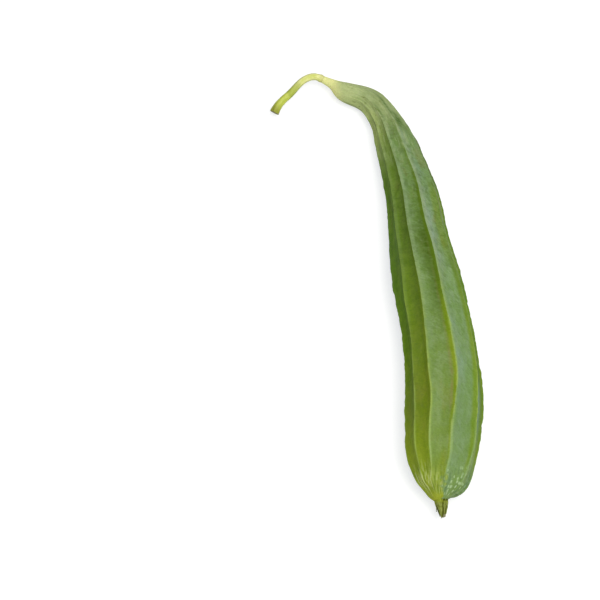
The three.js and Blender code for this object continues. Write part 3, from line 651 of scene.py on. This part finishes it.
# ---------------------------------------------------------------- the stalk
def stalk_material():
    m = Nodes("stalk")
    co = m.attr("g_co", vector=True)
    s = m.attr("g_s")
    rib = m.attr("g_t")
    fibre = m.noise(m.scale(co, (9.0, 9.0, 1.2)), 1.0, 4.0, 0.6)
    blot = m.noise(m.scale(co, (2.5, 2.5, 1.6)), 1.0, 3.0, 0.6)
    col = m.mix(m.ramp(blot, 0.35, 0.65), (0.570, 0.610, 0.120, 1), (0.760, 0.760, 0.270, 1))
    col = m.mix(m.ramp(fibre, 0.52, 0.75, 0.0, 0.5), col, (0.360, 0.400, 0.050, 1))
    col = m.mix(m.ramp(rib, 0.6, 1.0, 0.0, 0.45), col, (0.820, 0.810, 0.300, 1))
    along = m.add(s, m.mul(m.sub(blot, 0.5), 0.2))
    # paler and bluer over the arch, yellower and darker down the falling half and darker through the middle: partly the
    # stalk's own colour, partly painted shade
    col = m.mix(m.ramp(along, 0.40, 0.62), m.mix(1.0, col, (1.06, 1.05, 1.20, 1), "MULTIPLY"), m.mix(1.0, col, (0.80, 0.86, 0.42, 1), "MULTIPLY"))
    col = m.mix(m.mul(m.ramp(along, 0.36, 0.48), m.ramp(along, 0.76, 0.60)), col, m.mix(1.0, col, (0.76, 0.79, 0.68, 1), "MULTIPLY"))
    col = m.mix(m.ramp(along, 0.80, 1.0, 0.0, 0.90), col, (0.260, 0.275, 0.018, 1))
    col = m.mix(m.ramp(s, 0.075, 0.02, 0.0, 0.6), col, (0.600, 0.560, 0.200, 1))
    m.set(Base_Color=col, Roughness=m.ramp(fibre, 0.3, 0.7, 0.42, 0.62),
          Normal=m.bump(fibre, 0.0003, 0.8))
    m.bsdf.inputs["Specular IOR Level"].default_value = 0.4
    return m.mat


def cut_material():
    m = Nodes("cut end")
    co = m.attr("g_co", vector=True)
    rad = m.attr("g_t")
    grain = m.voronoi(m.scale(co, 14.0), 1.0)
    col = m.mix(m.ramp(grain, 0.1, 0.6), (0.170, 0.130, 0.045, 1), (0.420, 0.380, 0.160, 1))
    col = m.mix(m.ramp(rad, 0.75, 1.0), col, (0.200, 0.190, 0.040, 1))
    m.set(Base_Color=col, Roughness=0.8, Normal=m.bump(grain, 0.0004, 0.9))
    return m.mat


def stalk():
    path = Path(STEM)
    back = tuple(-v for v in NECK_DIRECTION)
    start = -1.6                                     # runs a little way into the neck, so that no gap shows
    n, k = 150, 60
    s = np.linspace(0, path.length, n)
    q = path.at(s)
    d, out, up = path.frames(s, back, None, 4.0)
    A = np.linspace(0, 2 * math.pi, k, endpoint=False)
    S, A = np.meshgrid(s, A, indexing="ij")
    R = np.broadcast_to(q[:, 3:4], S.shape)
    X, Y, Z = R * np.sin(A), R * np.cos(A), S
    ribs = 0.5 - 0.5 * np.cos(5 * A + 0.5 * np.sin(S / 14))
    r = R * (1 - 0.07 * ribs)
    r = r + 0.10 * noise(X / 2.2, Y / 2.2, Z / 11, 61) + 0.07 * noise(X / 1.1, Y / 1.1, Z / 5, 62)
    r = r + 0.34 * np.exp(-(((S - 2.0) / 1.3) ** 2)) - 0.16 * np.exp(-(((S - 4.6) / 1.6) ** 2))      # the joint's ring
    r = r + 0.22 * np.exp(-(((S - path.length + 9) / 3.0) ** 2)) * noise(X / 4, Y / 4, Z / 4, 63)
    r = r + 0.25 * smooth(S, path.length - 4, path.length) * (0.5 + noise(X / 1.5, Y / 1.5, 0.3, 64))        # crushed rim
    pts = q[:, None, :3] + r[..., None] * (np.cos(A)[..., None] * up[:, None] + np.sin(A)[..., None] * out[:, None])
    # the cut isn't square: shear the last sections, and sink its middle
    pts = pts + (smooth(S, path.length - 6, path.length) * 0.9 * np.cos(A - 0.8))[..., None] * d[:, None] * 0.6
    first = pts[:1] + np.array(NECK_DIRECTION) * 1.6
    first = first.mean(1, keepdims=True) + (first - first.mean(1, keepdims=True)) * 0.9
    rings = np.concatenate([first, pts])
    P, faces = skin_rings(rings, True, False)
    nbody = len(rings) * k
    attr_t = np.r_[np.full(k, 0.5), (1 - ribs).ravel()]
    attr_s = np.r_[np.zeros(k), (S / path.length).ravel()]
    co = np.vstack([np.stack([X[0], Y[0], Z[0] - 1.6], -1), np.stack([X, Y, Z], -1).reshape(-1, 3)]) / 10
    P0 = len(P)
    # the cut face: rings going inward, slightly hollow, fibrous
    b = (len(rings) - 1) * k
    rim = rings[-1]
    mid = rim.mean(0)
    end_dir = d[-1]
    Pn, Fn, tn, cn = [P], list(faces), [attr_t, [0.5]], [co, [[0, 0, 0]]]
    sn = [attr_s, [0]]
    prev = np.arange(b, b + k)
    count = len(P)
    mats = [0] * len(faces)
    for i, f in enumerate((0.93, 0.80, 0.62, 0.42, 0.22)):
        ring = mid + (rim - mid) * f
        sink = 0.15 if i == 0 else 0.15 - 0.55 * (1 - f)
        ang = np.arange(k) / k * 2 * math.pi
        ring = ring + end_dir * (sink + 0.16 * noise(8 * f * np.cos(ang), 8 * f * np.sin(ang), 0.5, 65))[:, None]
        idx = np.arange(count, count + k)
        for a in range(k):
            Fn.append([int(prev[a]), int(idx[a]), int(idx[(a + 1) % k]), int(prev[(a + 1) % k])])
            mats.append(1)
        Pn.append(ring); tn.append(np.full(k, f)); sn.append(np.ones(k))
        cn.append(np.stack([f * np.cos(ang), f * np.sin(ang), np.full(k, 3.0)], -1) * 0.35)
        prev, count = idx, count + k
    Pn.append([mid - end_dir * 0.3]); tn.append([0.0]); sn.append([1.0]); cn.append([[0, 0, 1.05]])
    for a in range(k):
        Fn.append([int(prev[a]), count, int(prev[(a + 1) % k])])
        mats.append(1)
    P = np.vstack(Pn)
    ob = make("gourd_stalk", P, Fn, stalk_material(), {"g_t": np.concatenate(tn), "g_s": np.concatenate(sn)},
              {"g_co": np.vstack(cn)}, replaces=["stem"])
    ob.data.materials.append(cut_material())
    ob.data.polygons.foreach_set("material_index", mats)
    return ob


# ---------------------------------------------------------------- the dried flower
def petal_material(name, low, high, dark):
    m = Nodes(name)
    co = m.attr("g_co", vector=True)
    s = m.attr("g_s")                     # 0 at the base, 1 at the tip
    h = m.attr("g_t")                     # 0 in a fold, 1 on its back
    vein = m.noise(m.scale(co, (16.0, 16.0, 2.2)), 1.0, 4.0, 0.65)
    blot = m.noise(m.scale(co, (6.0, 6.0, 4.0)), 1.0, 3.0, 0.6)
    col = m.mix(m.ramp(blot, 0.35, 0.65), low, high)
    col = m.mix(m.ramp(vein, 0.50, 0.72, 0.0, 0.55), col, dark)
    # painted shade: darker in the folds of the tube, towards the edges of each sepal and at the curled end of the short
    # one
    col = m.mix(m.ramp(h, 0.55, 0.0, 0.0, 0.85), col, dark)
    col = m.mix(m.ramp(m.add(s, m.mul(m.sub(blot, 0.5), 0.25)), 0.22, 0.05, 0.0, 0.8), col, (0.270, 0.320, 0.018, 1))
    col = m.mix(m.ramp(m.add(s, m.mul(m.sub(blot, 0.5), 0.2)), 0.88, 0.99, 0.0, 0.8), col, m.mix(m.ramp(vein, 0.4, 0.6), (0.080, 0.065, 0.020, 1), (0.560, 0.500, 0.340, 1)))
    # painted shade: the bases of the sepals tucked under the rounded end of the fruit near black
    col = m.mix(m.mul(m.attr("g_overhang_shade"), m.ramp(s, 0.17, 0.04)), col, (0.060, 0.075, 0.004, 1))
    col = m.mix(m.mul(m.attr("g_pale"), m.ramp(s, 0.76, 0.84)), col, (0.620, 0.570, 0.430, 1))
    m.set(Base_Color=col, Roughness=0.78, Normal=m.bump(vein, 0.0004, 1.0))
    m.bsdf.inputs["Specular IOR Level"].default_value = 0.2
    return m.mat


def flower():
    path = Path(FLOWER)
    L = path.length
    leafy = petal_material("dry sepals", (0.150, 0.180, 0.016, 1), (0.300, 0.340, 0.075, 1), (0.070, 0.080, 0.004, 1))
    inner = petal_material("dry petals", (0.105, 0.125, 0.006, 1), (0.190, 0.210, 0.020, 1), (0.050, 0.055, 0.003, 1))
    bend = lambda f: np.stack([0.55 - 0.75 * f**2, -0.5 - 0.4 * f**2, 0 * f], -1)            # leans a little to one side

    def place(f):
        ss = f * L
        qq = path.at(np.clip(ss, 0, L))
        dd, oo, uu = path.frames(np.clip(ss, 0, L), TIP_DIRECTION, None, 3.0)
        qq[:, :3] += dd * (ss - np.clip(ss, 0, L))[:, None] + bend(np.maximum(f, 0))
        return qq, dd, oo, uu

    # core: the shrivelled tube, folded lengthwise
    n, k = 56, 96
    f = np.linspace(-0.12, 0.96, n)
    q, d, out, up = place(f)
    A = np.linspace(0, 2 * math.pi, k, endpoint=False)
    F, A = np.meshgrid(f, A, indexing="ij")
    R = np.interp(F, [-0.12, 0.0, 0.15, 0.40, 0.65, 0.85, 0.96], [4.1, 4.3, 4.1, 3.40, 2.45, 1.75, 1.25])
    fold = 0.5 + 0.5 * np.cos(9 * A + 1.6 * F + 1.2 * np.sin(2 * A))
    r = R * (0.80 + 0.20 * fold) + 0.14 * noise(5 * np.cos(A), 5 * np.sin(A), F * 5, 71)
    pts = q[:, None, :3] + r[..., None] * (np.cos(A)[..., None] * up[:, None] + np.sin(A)[..., None] * out[:, None])
    P, faces = skin_rings(pts)
    co = np.vstack([np.stack([np.cos(A) * 0.42, np.sin(A) * 0.42, F * L / 10], -1).reshape(-1, 3), [[0, 0, 0], [0, 0, L / 10]]])
    make("flower_core", P, faces, inner, {"g_s": np.r_[F.ravel(), 0, 1], "g_t": np.r_[fold.ravel(), 0, 0.5]}, {"g_co": co},
         replaces=["dried_flower"])
    # sepals: pointed strips pressed forward over the tube (middle angle, half width at the base, length, drift, thickness)
    strips = [(-44, 33, 1.00, 10, 1.0), (20, 12, 0.95, -4, 0.8), (57, 18, 0.88, -10, 0.9), (118, 27, 0.93, 6, 1.0),
              (178, 27, 0.99, -8, 1.0), (-120, 26, 0.90, 10, 1.0), (-88, 12, 0.60, -10, 0.7)]
    for j, (mid, half0, reach, drift, fat) in enumerate(strips):
        m_, w_ = 34, 13
        f = np.linspace(-0.06, reach, m_)
        u = np.clip(f / reach, 0, 1)
        q, d, out, up = place(f)
        V = np.linspace(-1, 1, w_)
        half = np.radians(half0) * (1 - u**1.7) ** 0.8 + 0.05
        angle = np.radians(mid + drift * u + 3 * np.sin(5 * u + 2 * j))
        base = np.interp(f, [-0.12, 0.0, 0.15, 0.40, 0.65, 0.85, 1.05], [4.25, 4.5, 4.3, 3.60, 2.65, 1.95, 1.40])
        if j == 6:                                            # the short one curls outwards
            base = base + 1.1 * smooth(u, 0.55, 1.0)
        if j in (1, 2, 3):                                    # these sink in under the rounded end of the fruit
            base = base - 0.45 * smooth(f, 0.28, 0.02)
        ang = angle[:, None] + V * half[:, None]
        crown = 0.38 * fat * (1 - V**2) * (1 - 0.5 * u[:, None]) + 0.10 * np.sin(4.0 * V + 6 * u[:, None] + j) * (0.3 + u[:, None])
        crown = crown + 0.10 * noise(V * 1.6, f[:, None] * 9, j * 3.3, 72)
        thick = 0.22 * fat * (1 - 0.6 * V**2)
        def rows(offset):
            rr = base[:, None] + crown + offset
            return q[:, None, :3] + rr[..., None] * (np.cos(ang)[..., None] * up[:, None] + np.sin(ang)[..., None] * out[:, None])
        rings = np.concatenate([rows(thick[None]), rows(-thick[None])[:, ::-1]], 1)
        P, faces = skin_rings(rings)
        ff = np.repeat(u, 2 * w_)
        vv = np.tile(np.r_[V, V[::-1]], m_)
        co = np.vstack([np.stack([vv * 0.2 + j, np.full_like(vv, j * 0.7), ff * reach * L / 10], -1), [[j, j * 0.7, 0], [j, j * 0.7, L / 10]]])
        # darker towards the edges and, on the short one, its curled end: painted shade
        tone = 1 - np.abs(vv) ** 3 * 0.8
        if j == 6:
            tone = tone * (1 - smooth(ff, 0.70, 0.95))
        make(f"flower_sepal_{j + 1}", P, faces, leafy, {"g_s": np.r_[ff * reach, 0, 1], "g_t": np.r_[tone, 1, 1], "g_overhang_shade": np.full(len(ff) + 2, float(j in (1, 2, 3))),
              "g_pale": np.full(len(ff) + 2, float(j in (1, 2)))}, {"g_co": co},
             replaces=["dried_flower"])


# ---------------------------------------------------------------- build
body()
stalk()
flower()


# ---------------------------------------------------------------- floor, light and camera
def stage():
    me = bpy.data.meshes.new("floor")
    e = 6.0
    me.from_pydata([(-e, -e, 0), (e, -e, 0), (e, e, 0), (-e, e, 0)], [], [(0, 1, 2, 3)])
    floor = bpy.data.objects.new("floor", me)
    bpy.context.collection.objects.link(floor)
    # a white sheet, evenly lit from behind, on which shadows are faint
    m = Nodes("floor")
    lp = m.new("ShaderNodeLightPath")
    speck = m.noise(m.new("ShaderNodeTexCoord").outputs["Object"], 40.0, 2.0, 0.5)
    seen = m.mix(speck, (0.47, 0.45, 0.43, 1), (0.49, 0.47, 0.45, 1))
    m.set(Base_Color=m.mix(lp.outputs["Is Camera Ray"], (0.70, 0.70, 0.68, 1), seen), Roughness=0.9)
    m.bsdf.inputs["Specular IOR Level"].default_value = 0.0
    m.bsdf.inputs["Emission Color"].default_value = (0.945, 0.965, 1.0, 1)
    m.put(m.bsdf.inputs["Emission Strength"], m.math("MULTIPLY", lp.outputs["Is Camera Ray"], 0.68))
    me.materials.append(m.mat)

    world = bpy.data.worlds.new("studio")
    bpy.context.scene.world = world
    world.use_nodes = True
    t = world.node_tree
    t.nodes.clear()
    out = t.nodes.new("ShaderNodeOutputWorld")
    soft, white, mix = (t.nodes.new(k) for k in ("ShaderNodeBackground", "ShaderNodeBackground", "ShaderNodeMixShader"))
    soft.inputs[0].default_value = (0.95, 0.98, 1.0, 1)
    tc, dot, ramp = (t.nodes.new(k) for k in ("ShaderNodeTexCoord", "ShaderNodeVectorMath", "ShaderNodeMapRange"))
    dot.operation = "DOT_PRODUCT"
    dot.inputs[1].default_value = (0.33, -0.30, 0.895)
    ramp.interpolation_type = "SMOOTHSTEP"
    for i, v in enumerate((-0.35, 0.90, 0.20, 0.60)):
        ramp.inputs[1 + i].default_value = v
    t.links.new(tc.outputs["Generated"], dot.inputs[0])
    t.links.new(dot.outputs["Value"], ramp.inputs[0])
    t.links.new(ramp.outputs[0], soft.inputs[1])
    white.inputs[0].default_value = (1, 1, 1, 1)
    white.inputs[1].default_value = 1.0
    path = t.nodes.new("ShaderNodeLightPath")
    t.links.new(path.outputs["Is Camera Ray"], mix.inputs[0])
    t.links.new(soft.outputs[0], mix.inputs[1])
    t.links.new(white.outputs[0], mix.inputs[2])
    t.links.new(mix.outputs[0], out.inputs[0])

    def area(name, place, aim, size, power, colour):
        data = bpy.data.lights.new(name, "AREA")
        data.shape = "DISK"
        data.size, data.energy, data.color = size, power, colour
        ob = bpy.data.objects.new(name, data)
        bpy.context.collection.objects.link(ob)
        ob.location = place
        ob.rotation_mode = "QUATERNION"
        ob.rotation_quaternion = (Vector(aim) - Vector(place)).to_track_quat("-Z", "Y")
        return ob

    area("key", (0.36, -0.60, 1.85), (0.02, 0.0, 0.0), 1.2, 26, (1.0, 0.99, 0.965))

    cam = bpy.data.cameras.new("camera")
    cam.lens, cam.sensor_width = 100.0, 36.0
    cam.clip_start, cam.clip_end = 0.05, 50
    ob = bpy.data.objects.new("camera", cam)
    bpy.context.collection.objects.link(ob)
    ob.location = (-0.05099, -0.61057, 1.03923)
    ob.rotation_euler = (math.radians(30), 0, 0)
    bpy.context.scene.camera = ob
    vs = bpy.context.scene.view_settings
    vs.view_transform, vs.look, vs.exposure, vs.gamma = "Standard", "None", 0.0, 1.0


stage()
